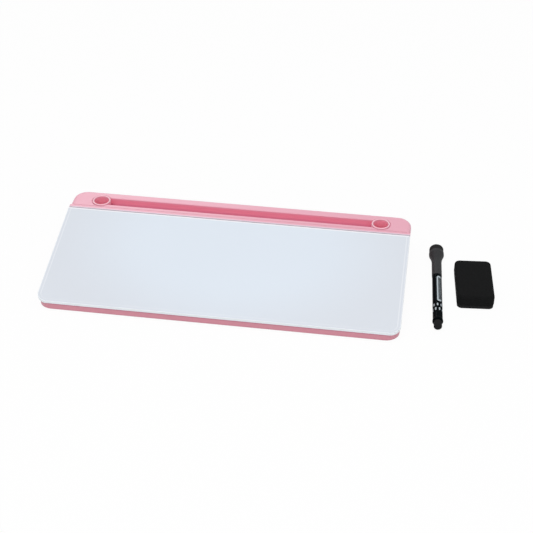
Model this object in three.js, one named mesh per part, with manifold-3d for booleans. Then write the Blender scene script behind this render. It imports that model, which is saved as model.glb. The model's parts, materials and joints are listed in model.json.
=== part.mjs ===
// A desktop glass whiteboard: a sloping sheet of glass on a low wedge housing, with a pen groove and
// two pen cups behind it, and the dry-erase marker and the eraser that lie beside it.
// Millimetres, +X along the board, +Y to the back, +Z up. Each piece is one closed mesh.

import * as THREE from 'three';
import { mergeVertices } from 'three/addons/utils/BufferGeometryUtils.js';
import Module from 'manifold-3d';

const wasm = await Module();
wasm.setup();

// Driving dimensions of the board
const BOARD_LENGTH = 400;
const GLASS_DEPTH = 147.5;
const GLASS_THICKNESS = 4;
const GLASS_TILT_DEGREES = 11;
const FRONT_BAND = 8.2;
const FOOT_DROP = 1.2;
const REAR_STRIP = 38.2;
const FRONT_CORNER = 16;
const REAR_CORNER = 16;
const WALL = 2.2;
const WALL_LEAN_DEGREES = 1.4;

// Glass and what lies under it
const GLASS_FRONT_CORNER = 12;
const GLASS_REAR_CORNER = 2;
const GLASS_ARRIS = 0.5;
const GLASS_BACK_GAP = 0.4;
const RIM_WIDTH = 3;
const RIM_GAP = 0.3;
const LAYER_GAP = 0.2;
const BACKING_THICKNESS = 0.6;
const BACKING_MARGIN = 0.4;
const TAPE_THICKNESS = 1;
const TAPE_WIDTH = 14;
const TAPE_MARGIN = 3;

// Top shell
const LIP_REACH = 6.2;
const LIP_ROUND = 1.2;
const FOOT_CHAMFER = 0.6;
const RIB_THICKNESS = 1.6;
const RIB_HEIGHT = 3;

// Pen tray
const SEAM = 0.4;
const TRAY_SKIRT = 13;
const TRAY_ROUND = 5;
const GROOVE_WIDTH = 14.1;
const GROOVE_OFFSET = 18.6;
const GROOVE_DEPTH = 9.5;
const GROOVE_ROUND = 4;
const GROOVE_CHAMFER = 0.7;
const TROUGH_WALL = 1.8;

// Pen cups
const CUP_END_SETBACK = 35;
const CUP_BORE = 8.6;
const CUP_WALL = 1.2;
const CUP_RIM_WIDTH = 2;
const CUP_RIM_HEIGHT = 0.9;
const CUP_RIM_GAP = 0.25;
const CUP_MOAT_WIDTH = 1;
const CUP_MOAT_DEPTH = 1.2;
const CUP_DEPTH = 30;
const CUP_FLOOR = 1.6;
const CUP_CORNER = 1.5;
const CUP_CLEARANCE = 0.3;
const COLLAR_MARGIN = 0.4;

// Bottom cover, its screws and the feet
const COVER_THICKNESS = 2;
const COVER_GAP = 0.3;
const SCREW_HEAD_RADIUS = 2.6;
const SCREW_HEAD_HEIGHT = 1.6;
const SCREW_SINK = 0.5;
const SCREW_SHANK_RADIUS = 1.25;
const SCREW_LENGTH = 6.5;
const SCREW_POINT = 0.8;
const SCREW_CLEARANCE = 0.25;
const DRIVE_WIDTH = 0.6;
const DRIVE_SPAN = 3;
const DRIVE_DEPTH = 0.8;
const BOSS_RADIUS = 3.4;
const BOSS_ROOT = 1.2;
const PAD_MARGIN = 1.6;
const PAD_SKIN = 1.2;
const FOOT_RADIUS = 7;
const FOOT_HEIGHT = 2.6;
const FOOT_EDGE = 0.8;
const FOOT_CLEARANCE = 0.25;

// Marker, measured along its axis from the end plug to the felt
const MARKER_LENGTH = 141.2;
const MARKER_BOARD_GAP = 22.3;
const MARKER_REAR_SETBACK = 14;
const MARKER_YAW_DEGREES = 3.4;
const PLUG_RADIUS = 4.5;
const PLUG_LENGTH = 8.3;
const PLUG_ROUND = 1.2;
const PLUG_INSERT = 8;
const BARREL_RADIUS = 5.5;
const BARREL_MOUTH_RADIUS = 5.4;
const BARREL_BEAD = 0.4;
const BARREL_BEAD_LENGTH = 4.5;
const BARREL_WALL = 1.1;
const NECK_LENGTH = 11;
const CAP_LENGTH = 44.4;
const CAP_RADIUS = 5.65;
const CAP_WALL = 0.9;
const CAP_TAPER = 14.3;
const CAP_RIM_RADIUS = 8.5;
const CAP_RIM_LENGTH = 5;
const CAP_RIM_ROUND = 0.8;
const CAP_END_WALL = 1.6;
const CAP_SLIDE_GAP = 0.25;
const CAP_MOUTH_GAP = 0.4;
const FELT_RADIUS = 8.15;
const FELT_LENGTH = 8;
const FELT_ROUND = 1;
const NIB_RADIUS = 1.9;
const NIB_REACH = 6;
const NIB_INSERT = 9;
const HOLDER_LENGTH = 10;
const HOLDER_TIP_RADIUS = 3;
const HOLDER_INSERT = 5;
const HOLDER_SHOULDER = 1.6;
const FIT = 0.25;

// Eraser
const ERASER_WIDTH = 41;
const ERASER_LENGTH = 70.8;
const ERASER_HEIGHT = 16.2;
const ERASER_PAD_HEIGHT = 4.2;
const ERASER_CORNER = 6;
const ERASER_EDGE = 3;
const ERASER_PAD_INSET = 0.5;
const ERASER_MARKER_GAP = 7;
const ERASER_REAR_SETBACK = 74.3;
const ERASER_YAW_DEGREES = 4.9;

// Places given as shares of the size that they follow
const SIDE_SCREW_SHARE = 0.41;
const MIDDLE_SCREW_SHARE = 0.24;
const REAR_SCREW_SHARE = 0.29;
const FRONT_SCREW_ROW_SHARE = 0.2;
const MIDDLE_SCREW_ROW_SHARE = 0.55;
const FOOT_SHARE = 0.44;
const FRONT_FOOT_ROW_SHARE = 0.12;
const REAR_FOOT_ROW_SHARE = 0.88;
const CROSS_RIB_SHARES = [-0.34, -0.12, 0.12, 0.34];
const LONG_RIB_SHARES = [0.36, 0.72];
const RIM_SHOULDER_SHARE = 0.45;

// Rounded ends of turned pieces: each point as shares of the round's radius and of its length
const CAP_FLARE_SHARES = [[0.12, 0.66], [0.45, 0.33]];
const NIB_TIP_SHARES = [[1, 1], [0.8, 0.4], [0.4, 0.08]];
const PLUG_EDGE_SHARES = [[1, 0], [0.35, 0.35], [0, 1.2]];
const FELT_EDGE_SHARES = [[0, 1], [0.3, 0.3], [1, 0]];

// Counts of facets, and one overrun for every cut
const CORNER_STEPS = 8;
const EDGE_STEPS = 5;
const SMALL_EDGE_STEPS = 3;
const CUP_SIDES = 36;
const MARKER_SIDES = 28;
const FOOT_SIDES = 24;
const SCREW_SIDES = 12;
const OVERRUN = 2;

// Levels and lines of the board, worked out from the sizes above
const tilt = THREE.MathUtils.degToRad(GLASS_TILT_DEGREES);
const lean = Math.tan(THREE.MathUtils.degToRad(WALL_LEAN_DEGREES));
const undersideZ = FOOT_DROP;
const glassFootZ = undersideZ + FRONT_BAND;
const glassBackTopY = GLASS_DEPTH * Math.cos(tilt) - GLASS_THICKNESS * Math.sin(tilt);
const stripTopZ = glassFootZ + GLASS_DEPTH * Math.sin(tilt) + GLASS_THICKNESS * Math.cos(tilt);
const lipFrontY = GLASS_DEPTH * Math.cos(tilt) + GLASS_BACK_GAP;
const lipBackY = glassBackTopY + LIP_REACH;
const trayFrontY = lipBackY + SEAM;
const boardDepth = glassBackTopY + REAR_STRIP;
const trayFootZ = stripTopZ - TRAY_SKIRT;
const grooveY = glassBackTopY + GROOVE_OFFSET;
const cupX = BOARD_LENGTH / 2 - CUP_END_SETBACK;
const deckTopW = -(3 * LAYER_GAP + BACKING_THICKNESS + TAPE_THICKNESS);
const deckFootW = deckTopW - WALL;
const coverTopZ = undersideZ + COVER_THICKNESS;
const padTopZ = undersideZ + SCREW_SINK + SCREW_HEAD_HEIGHT + PAD_SKIN;
const bossFootZ = padTopZ + COVER_GAP;
const screwTipZ = undersideZ + SCREW_SINK + SCREW_HEAD_HEIGHT + SCREW_LENGTH;
const troughFootZ = stripTopZ - GROOVE_DEPTH - TROUGH_WALL;
const moatFloorZ = stripTopZ - CUP_MOAT_DEPTH;
const footLean = (stripTopZ - undersideZ) * lean;
const rearScrewY = (grooveY + GROOVE_WIDTH / 2 + TROUGH_WALL + boardDepth - WALL) / 2 - footLean;

// Materials
const pink = { color: 0xefb8c8, roughness: 0.38, metalness: 0 };
const glass = { color: 0xe1e8f2, roughness: 0.04, metalness: 0, transparent: true, opacity: 0.55 };
const white = { color: 0xf2f4f6, roughness: 0.5, metalness: 0 };
const foamTape = { color: 0xd9dadc, roughness: 0.9, metalness: 0 };
const rubber = { color: 0x3a3b3d, roughness: 0.85, metalness: 0 };
const steel = { color: 0xb9bcc0, roughness: 0.35, metalness: 1 };
const blackGloss = { color: 0x15171a, roughness: 0.2, metalness: 0 };
const blackMatte = { color: 0x2b2c2e, roughness: 0.6, metalness: 0 };
const felt = { color: 0x303233, roughness: 0.95, metalness: 0 };
const fibre = { color: 0xe7e4da, roughness: 0.95, metalness: 0 };
const inkNib = { color: 0x111214, roughness: 0.8, metalness: 0 };

// Solids and meshes
function toSolid(geometry) {
  const bare = geometry.clone();
  bare.deleteAttribute('normal');
  bare.deleteAttribute('uv');
  const merged = mergeVertices(bare);
  const vertProperties = Float32Array.from(merged.attributes.position.array);
  const triVerts = Uint32Array.from(merged.index.array);
  return new wasm.Manifold(new wasm.Mesh({ numProp: 3, vertProperties, triVerts }));
}

function toGeometry(solid) {
  const mesh = solid.getMesh();
  const geometry = new THREE.BufferGeometry();
  geometry.setAttribute('position', new THREE.BufferAttribute(Float32Array.from(mesh.vertProperties), 3));
  geometry.setIndex(new THREE.BufferAttribute(Uint32Array.from(mesh.triVerts), 1));
  geometry.computeVertexNormals();
  return geometry;
}

function piece(name, shape, look) {
  const geometry = shape instanceof THREE.BufferGeometry ? shape : toGeometry(shape);
  const mesh = new THREE.Mesh(geometry, new THREE.MeshStandardMaterial(look));
  mesh.name = name;
  return mesh;
}

function block(x0, x1, y0, y1, z0, z1) {
  const geometry = new THREE.BoxGeometry(x1 - x0, y1 - y0, z1 - z0);
  geometry.translate((x0 + x1) / 2, (y0 + y1) / 2, (z0 + z1) / 2);
  return geometry;
}

function post(radius, x, y, z0, z1, sides) {
  const geometry = new THREE.CylinderGeometry(radius, radius, z1 - z0, sides);
  geometry.rotateX(Math.PI / 2);
  geometry.translate(x, y, (z0 + z1) / 2);
  return geometry;
}

function turned(profile, sides) {
  const points = profile.map(([radius, height]) => new THREE.Vector2(radius, height));
  const geometry = new THREE.LatheGeometry(points, sides);
  geometry.rotateX(Math.PI / 2);
  return geometry;
}

// The frame of the glass: x as on the board, v up the slope and w square to the glass
function onSlope(geometry) {
  geometry.rotateX(tilt);
  geometry.translate(0, 0, glassFootZ);
  return geometry;
}

function slopeHeight(y, w) {
  return glassFootZ + y * Math.tan(tilt) + w / Math.cos(tilt);
}

// A rectangle from y0 to y1 with one radius on its front corners and another on its rear corners
function roundedPlate(length, y0, y1, frontCorner, rearCorner, inset) {
  const right = length / 2 - inset;
  const front = y0 + inset;
  const back = y1 - inset;
  const rf = frontCorner - inset;
  const rb = rearCorner - inset;
  const quarter = Math.PI / 2;
  const corners = [
    { x: right - rf, y: front + rf, radius: rf },
    { x: right - rb, y: back - rb, radius: rb },
    { x: rb - right, y: back - rb, radius: rb },
    { x: rf - right, y: front + rf, radius: rf },
  ];
  return corners.flatMap(({ x, y, radius }, corner) => {
    const points = [];
    for (let i = 0; i <= CORNER_STEPS; i += 1) {
      const turn = (corner - 1 + i / CORNER_STEPS) * quarter;
      points.push(new THREE.Vector2(x + radius * Math.cos(turn), y + radius * Math.sin(turn)));
    }
    return points;
  });
}

// A closed solid through level outlines with equal counts of points, from the lowest to the highest
function stacked(levels, outlineAt) {
  const rings = levels.map(({ inset, z }) => outlineAt(inset).map((point) => [point.x, point.y, z]));
  const count = rings[0].length;
  const positions = rings.flat(2);
  const index = [];
  for (let level = 0; level + 1 < rings.length; level += 1) {
    for (let i = 0; i < count; i += 1) {
      const a = level * count + i;
      const b = level * count + ((i + 1) % count);
      index.push(a, b, b + count, a, b + count, a + count);
    }
  }
  const top = (rings.length - 1) * count;
  for (const [a, b, c] of THREE.ShapeUtils.triangulateShape(outlineAt(levels[0].inset), [])) {
    index.push(c, b, a, top + a, top + b, top + c);
  }
  const geometry = new THREE.BufferGeometry();
  geometry.setAttribute('position', new THREE.Float32BufferAttribute(positions, 3));
  geometry.setIndex(index);
  return geometry;
}

// Levels of a slab with a chamfered foot and a rounded top edge
function edgeLevels(z0, z1, foot, round, steps, inset) {
  const levels = foot > 0 ? [{ inset: inset + foot, z: z0 }, { inset, z: z0 + foot }] : [{ inset, z: z0 }];
  if (round === 0) return [...levels, { inset, z: z1 }];
  for (let i = 0; i <= steps; i += 1) {
    const turn = (i / steps) * (Math.PI / 2);
    levels.push({ inset: inset + round * (1 - Math.cos(turn)), z: z1 - round + round * Math.sin(turn) });
  }
  return levels;
}

function boardPlate(inset) {
  return roundedPlate(BOARD_LENGTH, 0, boardDepth, FRONT_CORNER, REAR_CORNER, inset);
}

// A slab of the board's outline, with its walls leaning in from the rear strip's level to the foot
function boardSlab(z0, z1, foot, round, steps, inset) {
  const upright = edgeLevels(z0, z1, foot, round, steps, inset);
  const leaning = upright.map((level) => ({
    inset: level.inset + (stripTopZ - level.z) * lean,
    z: level.z,
  }));
  return toSolid(stacked(leaning, boardPlate));
}

function glassPlate(inset) {
  return roundedPlate(BOARD_LENGTH, 0, GLASS_DEPTH, GLASS_FRONT_CORNER, GLASS_REAR_CORNER, inset);
}

// Everything in front of a line across the board, and everything behind it
function frontOf(y) {
  return toSolid(block(-BOARD_LENGTH, BOARD_LENGTH, -boardDepth, y, -boardDepth, boardDepth));
}

function behind(y) {
  return toSolid(block(-BOARD_LENGTH, BOARD_LENGTH, y, 2 * boardDepth, -boardDepth, boardDepth));
}

// Everything above a plane at height w over the foot of the glass
function aboveSlope(w) {
  const slab = block(-BOARD_LENGTH, BOARD_LENGTH, -boardDepth, 2 * boardDepth, w, w + boardDepth);
  return toSolid(onSlope(slab));
}

// Where the screws and the feet stand: x, y and whether the screw goes up into the tray
const screwPlaces = [
  { x: -SIDE_SCREW_SHARE * BOARD_LENGTH, y: FRONT_SCREW_ROW_SHARE * boardDepth, tray: false },
  { x: 0, y: FRONT_SCREW_ROW_SHARE * boardDepth, tray: false },
  { x: SIDE_SCREW_SHARE * BOARD_LENGTH, y: FRONT_SCREW_ROW_SHARE * boardDepth, tray: false },
  { x: -MIDDLE_SCREW_SHARE * BOARD_LENGTH, y: MIDDLE_SCREW_ROW_SHARE * boardDepth, tray: false },
  { x: MIDDLE_SCREW_SHARE * BOARD_LENGTH, y: MIDDLE_SCREW_ROW_SHARE * boardDepth, tray: false },
  { x: -REAR_SCREW_SHARE * BOARD_LENGTH, y: rearScrewY, tray: true },
  { x: 0, y: rearScrewY, tray: true },
  { x: REAR_SCREW_SHARE * BOARD_LENGTH, y: rearScrewY, tray: true },
];
const footPlaces = [-FOOT_SHARE, FOOT_SHARE].flatMap((share) =>
  [FRONT_FOOT_ROW_SHARE, REAR_FOOT_ROW_SHARE].map((row) => ({
    x: share * BOARD_LENGTH,
    y: row * boardDepth,
  })));
const cupPlaces = [-cupX, cupX].map((x) => ({ x, y: grooveY }));

// Glass, white backing and mounting tape, in the frame of the glass
function glassPanel() {
  const levels = [
    { inset: GLASS_ARRIS, z: 0 },
    { inset: 0, z: GLASS_ARRIS },
    { inset: 0, z: GLASS_THICKNESS - GLASS_ARRIS },
    { inset: GLASS_ARRIS, z: GLASS_THICKNESS },
  ];
  return stacked(levels, glassPlate);
}

// The recess inside the rim, which the backing and the tapes lie in
function recessPlate(inset) {
  const margin = RIM_WIDTH + inset;
  const length = BOARD_LENGTH - 2 * margin;
  return roundedPlate(length, margin, GLASS_DEPTH - margin, FRONT_CORNER - RIM_WIDTH, GLASS_REAR_CORNER, 0);
}

function backingSheet() {
  const top = -LAYER_GAP;
  const levels = [
    { inset: BACKING_MARGIN, z: top - BACKING_THICKNESS },
    { inset: BACKING_MARGIN, z: top },
  ];
  return stacked(levels, recessPlate);
}

const tapeTopW = -(2 * LAYER_GAP + BACKING_THICKNESS);
const tapeSide = BOARD_LENGTH / 2 - RIM_WIDTH - TAPE_MARGIN;
const tapeFront = RIM_WIDTH + TAPE_MARGIN;
const tapeBack = GLASS_DEPTH - RIM_WIDTH - TAPE_MARGIN;
const tapeMiddle = (tapeFront + tapeBack) / 2;
const tapeInnerSide = tapeSide - TAPE_WIDTH;
const tapeEnd = tapeSide - FRONT_CORNER / 2;

function tapeStrip(x0, x1, y0, y1) {
  return block(x0, x1, y0, y1, tapeTopW - TAPE_THICKNESS, tapeTopW);
}

// Ribs under the deck: some run up the slope, the others run along the board
function deckRibs() {
  const top = deckFootW + WALL / 2;
  const foot = deckFootW - RIB_HEIGHT;
  const half = RIB_THICKNESS / 2;
  const side = BOARD_LENGTH / 2;
  const upSlope = CROSS_RIB_SHARES.map((share) => {
    const x = share * BOARD_LENGTH;
    return onSlope(block(x - half, x + half, 2 * GLASS_FRONT_CORNER, GLASS_DEPTH, foot, top));
  });
  const alongBoard = LONG_RIB_SHARES.map((share) => {
    const y = share * GLASS_DEPTH;
    return onSlope(block(-side, side, y - half, y + half, foot, top));
  });
  return [...upSlope, ...alongBoard];
}

// Top shell: outer walls, sloping deck with its rim, lip behind the glass, ribs and screw bosses
function topShell() {
  const outside = boardSlab(undersideZ, stripTopZ, FOOT_CHAMFER, LIP_ROUND, SMALL_EDGE_STEPS, 0);
  const glassSpace = aboveSlope(-RIM_GAP).intersect(frontOf(lipFrontY));
  const recessLevels = [{ inset: 0, z: deckTopW }, { inset: 0, z: GLASS_THICKNESS }];
  const recess = toSolid(onSlope(stacked(recessLevels, recessPlate)));
  const overTray = toSolid(
    block(-BOARD_LENGTH, BOARD_LENGTH, 0, 2 * boardDepth, trayFootZ - SEAM, 2 * stripTopZ));
  const traySpace = behind(lipBackY).intersect(overTray);
  const deck = aboveSlope(deckFootW).intersect(frontOf(lipBackY));
  const hollow = boardSlab(undersideZ - OVERRUN, stripTopZ + OVERRUN, 0, 0, 1, WALL).subtract(deck);
  const betweenWalls = boardSlab(undersideZ, stripTopZ, 0, 0, 1, WALL / 2);

  let shell = outside.subtract(hollow);
  for (const rib of deckRibs()) {
    shell = shell.add(toSolid(rib).intersect(betweenWalls));
  }
  for (const place of screwPlaces.filter(({ tray }) => !tray)) {
    const bossTop = slopeHeight(place.y, deckFootW) + BOSS_ROOT;
    shell = shell.add(toSolid(post(BOSS_RADIUS, place.x, place.y, bossFootZ, bossTop, FOOT_SIDES)));
    shell = shell.subtract(pilotHole(place));
  }
  return shell.subtract(glassSpace).subtract(recess).subtract(traySpace);
}

function pilotHole({ x, y }) {
  const radius = SCREW_SHANK_RADIUS + SCREW_CLEARANCE;
  return toSolid(post(radius, x, y, bossFootZ - OVERRUN, screwTipZ + SCREW_POINT / 2, SCREW_SIDES));
}

// Section of the groove: a round-bottomed channel, widened by a chamfer at the strip's surface.
// Its points go from the mouth down the left side and up the right side, 0 being the strip's surface.
function grooveSection(halfWidth, depth, round, chamfer, mouthHeight) {
  const half = [[halfWidth + chamfer, mouthHeight]];
  if (chamfer > 0) half.push([halfWidth + chamfer, 0], [halfWidth, -chamfer]);
  for (let i = 0; i <= EDGE_STEPS; i += 1) {
    const turn = (i / EDGE_STEPS) * (Math.PI / 2);
    half.push([halfWidth - round * (1 - Math.cos(turn)), round - depth - round * Math.sin(turn)]);
  }
  const left = half.map(([x, y]) => new THREE.Vector2(-x, y));
  const right = half.map(([x, y]) => new THREE.Vector2(x, y));
  return new THREE.Shape([...left, ...right.reverse()]);
}

function alongGroove(shape) {
  const geometry = new THREE.ExtrudeGeometry(shape, { depth: 2 * cupX, bevelEnabled: false });
  geometry.rotateX(Math.PI / 2);
  geometry.rotateZ(Math.PI / 2);
  geometry.translate(-cupX, grooveY, stripTopZ);
  return toSolid(geometry);
}

// Pen tray: rounded rear strip with its skirt, the groove in its trough, and each cup's seat in a
// collar with a shallow moat around it
function penTray() {
  const outside = boardSlab(trayFootZ, stripTopZ, 0, TRAY_ROUND, EDGE_STEPS, 0)
    .intersect(behind(trayFrontY));
  const hollowTop = stripTopZ - WALL;
  const hollow = boardSlab(trayFootZ - OVERRUN, hollowTop, 0, TRAY_ROUND - WALL, EDGE_STEPS, WALL)
    .intersect(behind(trayFrontY + WALL));
  const room = boardSlab(bossFootZ, hollowTop + WALL / 2, 0, TRAY_ROUND - WALL, EDGE_STEPS, WALL / 2)
    .intersect(behind(trayFrontY));
  const half = GROOVE_WIDTH / 2;
  const trough = alongGroove(grooveSection(
    half + TROUGH_WALL, GROOVE_DEPTH + TROUGH_WALL, GROOVE_ROUND + TROUGH_WALL, 0, -WALL / 2));
  const groove = alongGroove(grooveSection(half, GROOVE_DEPTH, GROOVE_ROUND, GROOVE_CHAMFER, OVERRUN));

  let tray = outside.subtract(hollow).add(trough).subtract(groove);
  const rimRadius = CUP_BORE + CUP_RIM_WIDTH;
  const seatRadius = CUP_BORE + CUP_WALL + CUP_CLEARANCE;
  const overTop = stripTopZ + OVERRUN;
  for (const { x, y } of cupPlaces) {
    const collar = post(rimRadius + COLLAR_MARGIN, x, y, troughFootZ, moatFloorZ, CUP_SIDES);
    const moat = post(rimRadius + CUP_MOAT_WIDTH, x, y, moatFloorZ, overTop, CUP_SIDES);
    const seat = post(seatRadius, x, y, troughFootZ - OVERRUN, overTop, CUP_SIDES);
    tray = tray.add(toSolid(collar)).subtract(toSolid(moat)).subtract(toSolid(seat));
  }
  for (const place of screwPlaces.filter(({ tray: up }) => up)) {
    const boss = toSolid(post(BOSS_RADIUS, place.x, place.y, bossFootZ, hollowTop + WALL / 2, FOOT_SIDES));
    tray = tray.add(boss.intersect(room)).subtract(pilotHole(place));
  }
  return tray;
}

// Pen cup: a turned cup whose rounded rim stands in the moat; its z is 0 on the strip's surface
function penCup() {
  const outer = CUP_BORE + CUP_WALL;
  const rim = CUP_BORE + CUP_RIM_WIDTH;
  const floor = CUP_RIM_HEIGHT - CUP_DEPTH;
  const foot = floor - CUP_FLOOR;
  const rimFoot = CUP_RIM_GAP - CUP_MOAT_DEPTH;
  const shoulder = RIM_SHOULDER_SHARE * CUP_RIM_HEIGHT;
  return turned([
    [0, foot],
    [outer - CUP_CORNER, foot],
    [outer, foot + CUP_CORNER],
    [outer, rimFoot],
    [rim, rimFoot],
    [rim, shoulder],
    [rim - CUP_RIM_WIDTH / 4, CUP_RIM_HEIGHT],
    [CUP_BORE + CUP_RIM_WIDTH / 4, CUP_RIM_HEIGHT],
    [CUP_BORE, shoulder],
    [CUP_BORE, floor + CUP_CORNER],
    [CUP_BORE - CUP_CORNER, floor],
    [0, floor],
  ], CUP_SIDES);
}

// Bottom cover, screws and feet
function bottomCover() {
  const footPocket = FOOT_HEIGHT - FOOT_DROP + FOOT_CLEARANCE;
  const room = boardSlab(undersideZ, undersideZ + footPocket + padTopZ, 0, 0, 1, WALL + COVER_GAP);
  let cover = boardSlab(undersideZ, coverTopZ, 0, 0, 1, WALL + COVER_GAP);
  for (const { x, y } of screwPlaces) {
    const padRadius = SCREW_HEAD_RADIUS + SCREW_CLEARANCE + PAD_MARGIN;
    const headZ = undersideZ + SCREW_SINK + SCREW_HEAD_HEIGHT;
    const bore = SCREW_HEAD_RADIUS + SCREW_CLEARANCE;
    const hole = SCREW_SHANK_RADIUS + SCREW_CLEARANCE;
    cover = cover.add(toSolid(post(padRadius, x, y, undersideZ, padTopZ, FOOT_SIDES)).intersect(room));
    cover = cover.subtract(toSolid(post(bore, x, y, undersideZ - OVERRUN, headZ + COVER_GAP, SCREW_SIDES)));
    cover = cover.subtract(toSolid(post(hole, x, y, undersideZ, padTopZ + OVERRUN, SCREW_SIDES)));
  }
  for (const { x, y } of footPlaces) {
    const pocketRadius = FOOT_RADIUS + FOOT_CLEARANCE;
    const pocketTop = undersideZ + footPocket;
    const padRadius = pocketRadius + PAD_MARGIN;
    const pad = toSolid(post(padRadius, x, y, undersideZ, pocketTop + PAD_SKIN, FOOT_SIDES));
    cover = cover.add(pad.intersect(room));
    cover = cover.subtract(toSolid(post(pocketRadius, x, y, undersideZ - OVERRUN, pocketTop, FOOT_SIDES)));
  }
  return cover;
}

function screw() {
  const tip = SCREW_HEAD_HEIGHT + SCREW_LENGTH;
  const blank = toSolid(turned([
    [0, 0],
    [SCREW_HEAD_RADIUS, 0],
    [SCREW_HEAD_RADIUS, SCREW_HEAD_HEIGHT],
    [SCREW_SHANK_RADIUS, SCREW_HEAD_HEIGHT],
    [SCREW_SHANK_RADIUS, tip - SCREW_POINT],
    [0, tip],
  ], SCREW_SIDES));
  const long = DRIVE_SPAN / 2;
  const thin = DRIVE_WIDTH / 2;
  const slot = toSolid(block(-long, long, -thin, thin, -OVERRUN, DRIVE_DEPTH));
  const crossSlot = toSolid(block(-thin, thin, -long, long, -OVERRUN, DRIVE_DEPTH));
  return blank.subtract(slot.add(crossSlot));
}

function rubberFoot() {
  return turned([
    [0, 0],
    [FOOT_RADIUS - FOOT_EDGE, 0],
    [FOOT_RADIUS, FOOT_EDGE],
    [FOOT_RADIUS, FOOT_HEIGHT],
    [0, FOOT_HEIGHT],
  ], FOOT_SIDES);
}

// Marker pieces, turned about the marker's axis, z from the end plug to the felt
const capEndZ = MARKER_LENGTH - FELT_LENGTH;
const capMouthZ = capEndZ - CAP_LENGTH;
const barrelEndZ = capMouthZ - CAP_MOUTH_GAP;
const neckRadius = CAP_RADIUS - CAP_WALL - CAP_SLIDE_GAP;
const boreRadius = neckRadius - BARREL_WALL;
const neckEndZ = barrelEndZ + NECK_LENGTH;
const holderEndZ = neckEndZ + HOLDER_LENGTH;

function endPlug() {
  const insert = boreRadius - FIT;
  const collar = PLUG_LENGTH - FIT;
  return turned([
    [0, 0],
    ...PLUG_EDGE_SHARES.map(([inset, rise]) => [PLUG_RADIUS - inset * PLUG_ROUND, rise * PLUG_ROUND]),
    [PLUG_RADIUS, collar],
    [insert, collar],
    [insert, collar + PLUG_INSERT],
    [0, collar + PLUG_INSERT],
  ], MARKER_SIDES);
}

function markerBarrel() {
  const bead = BARREL_RADIUS + BARREL_BEAD;
  return turned([
    [boreRadius, PLUG_LENGTH],
    [BARREL_RADIUS - BARREL_BEAD, PLUG_LENGTH],
    [bead, PLUG_LENGTH + 2 * BARREL_BEAD],
    [bead, PLUG_LENGTH + BARREL_BEAD_LENGTH / 2],
    [BARREL_RADIUS, PLUG_LENGTH + BARREL_BEAD_LENGTH],
    [BARREL_MOUTH_RADIUS, barrelEndZ],
    [neckRadius, barrelEndZ],
    [neckRadius, neckEndZ],
    [boreRadius, neckEndZ],
    [boreRadius, PLUG_LENGTH],
  ], MARKER_SIDES);
}

function inkReservoir() {
  const start = PLUG_LENGTH + PLUG_INSERT;
  const end = neckEndZ - HOLDER_INSERT - FIT;
  return turned([
    [0, start],
    [boreRadius - FIT, start],
    [boreRadius - FIT, end],
    [NIB_RADIUS + FIT, end],
    [NIB_RADIUS + FIT, end - NIB_INSERT / 2],
    [0, end - NIB_INSERT / 2],
  ], MARKER_SIDES);
}

function nibHolder() {
  const bore = NIB_RADIUS + FIT;
  return turned([
    [bore, neckEndZ - HOLDER_INSERT],
    [boreRadius - FIT, neckEndZ - HOLDER_INSERT],
    [boreRadius - FIT, neckEndZ + FIT],
    [neckRadius, neckEndZ + FIT],
    [neckRadius, neckEndZ + HOLDER_SHOULDER],
    [HOLDER_TIP_RADIUS, holderEndZ],
    [bore, holderEndZ],
    [bore, neckEndZ - HOLDER_INSERT],
  ], MARKER_SIDES);
}

function markerNib() {
  const start = neckEndZ - HOLDER_INSERT - NIB_INSERT / 2;
  const end = holderEndZ + NIB_REACH;
  return turned([
    [0, start],
    [NIB_RADIUS, start],
    ...NIB_TIP_SHARES.map(([radius, setback]) => [radius * NIB_RADIUS, end - setback * NIB_RADIUS]),
    [0, end],
  ], MARKER_SIDES);
}

const feltSeatRadius = CAP_RIM_RADIUS - CAP_WALL;

function markerCap() {
  const rimFoot = capEndZ - CAP_RIM_LENGTH;
  const inner = CAP_RADIUS - CAP_WALL;
  const flare = CAP_RIM_RADIUS - CAP_RADIUS;
  const seatFloor = capEndZ - CAP_RIM_LENGTH / 2;
  const hollowEnd = seatFloor - CAP_END_WALL;
  return turned([
    [inner, capMouthZ],
    [CAP_RADIUS - CAP_SLIDE_GAP, capMouthZ],
    [CAP_RADIUS, capMouthZ + CAP_SLIDE_GAP],
    [CAP_RADIUS, rimFoot - CAP_TAPER],
    ...CAP_FLARE_SHARES.map(([swell, setback]) =>
      [CAP_RADIUS + swell * flare, rimFoot - setback * CAP_TAPER]),
    [CAP_RIM_RADIUS - CAP_RIM_ROUND / 3, rimFoot],
    [CAP_RIM_RADIUS, rimFoot + CAP_RIM_ROUND],
    [CAP_RIM_RADIUS, capEndZ - CAP_RIM_ROUND],
    [CAP_RIM_RADIUS - CAP_RIM_ROUND / 2, capEndZ],
    [feltSeatRadius, capEndZ],
    [feltSeatRadius, seatFloor],
    [0, seatFloor],
    [0, hollowEnd],
    [inner, hollowEnd],
    [inner, capMouthZ],
  ], MARKER_SIDES);
}

function capFelt() {
  const root = feltSeatRadius - FIT;
  const start = capEndZ - CAP_RIM_LENGTH / 2 + FIT;
  return turned([
    [0, start],
    [root, start],
    [root, capEndZ + FIT],
    [FELT_RADIUS, capEndZ + FIT],
    ...FELT_EDGE_SHARES.map(([inset, setback]) =>
      [FELT_RADIUS - inset * FELT_ROUND, MARKER_LENGTH - setback * FELT_ROUND]),
    [0, MARKER_LENGTH],
  ], MARKER_SIDES);
}

// Eraser pieces, centred on their own footprint
function eraserPlate(inset) {
  const half = ERASER_LENGTH / 2;
  return roundedPlate(ERASER_WIDTH, -half, half, ERASER_CORNER, ERASER_CORNER, inset);
}

function eraserPad() {
  const levels = [
    { inset: ERASER_PAD_INSET, z: 0 },
    { inset: ERASER_PAD_INSET, z: ERASER_PAD_HEIGHT - LAYER_GAP },
  ];
  return stacked(levels, eraserPlate);
}

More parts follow.
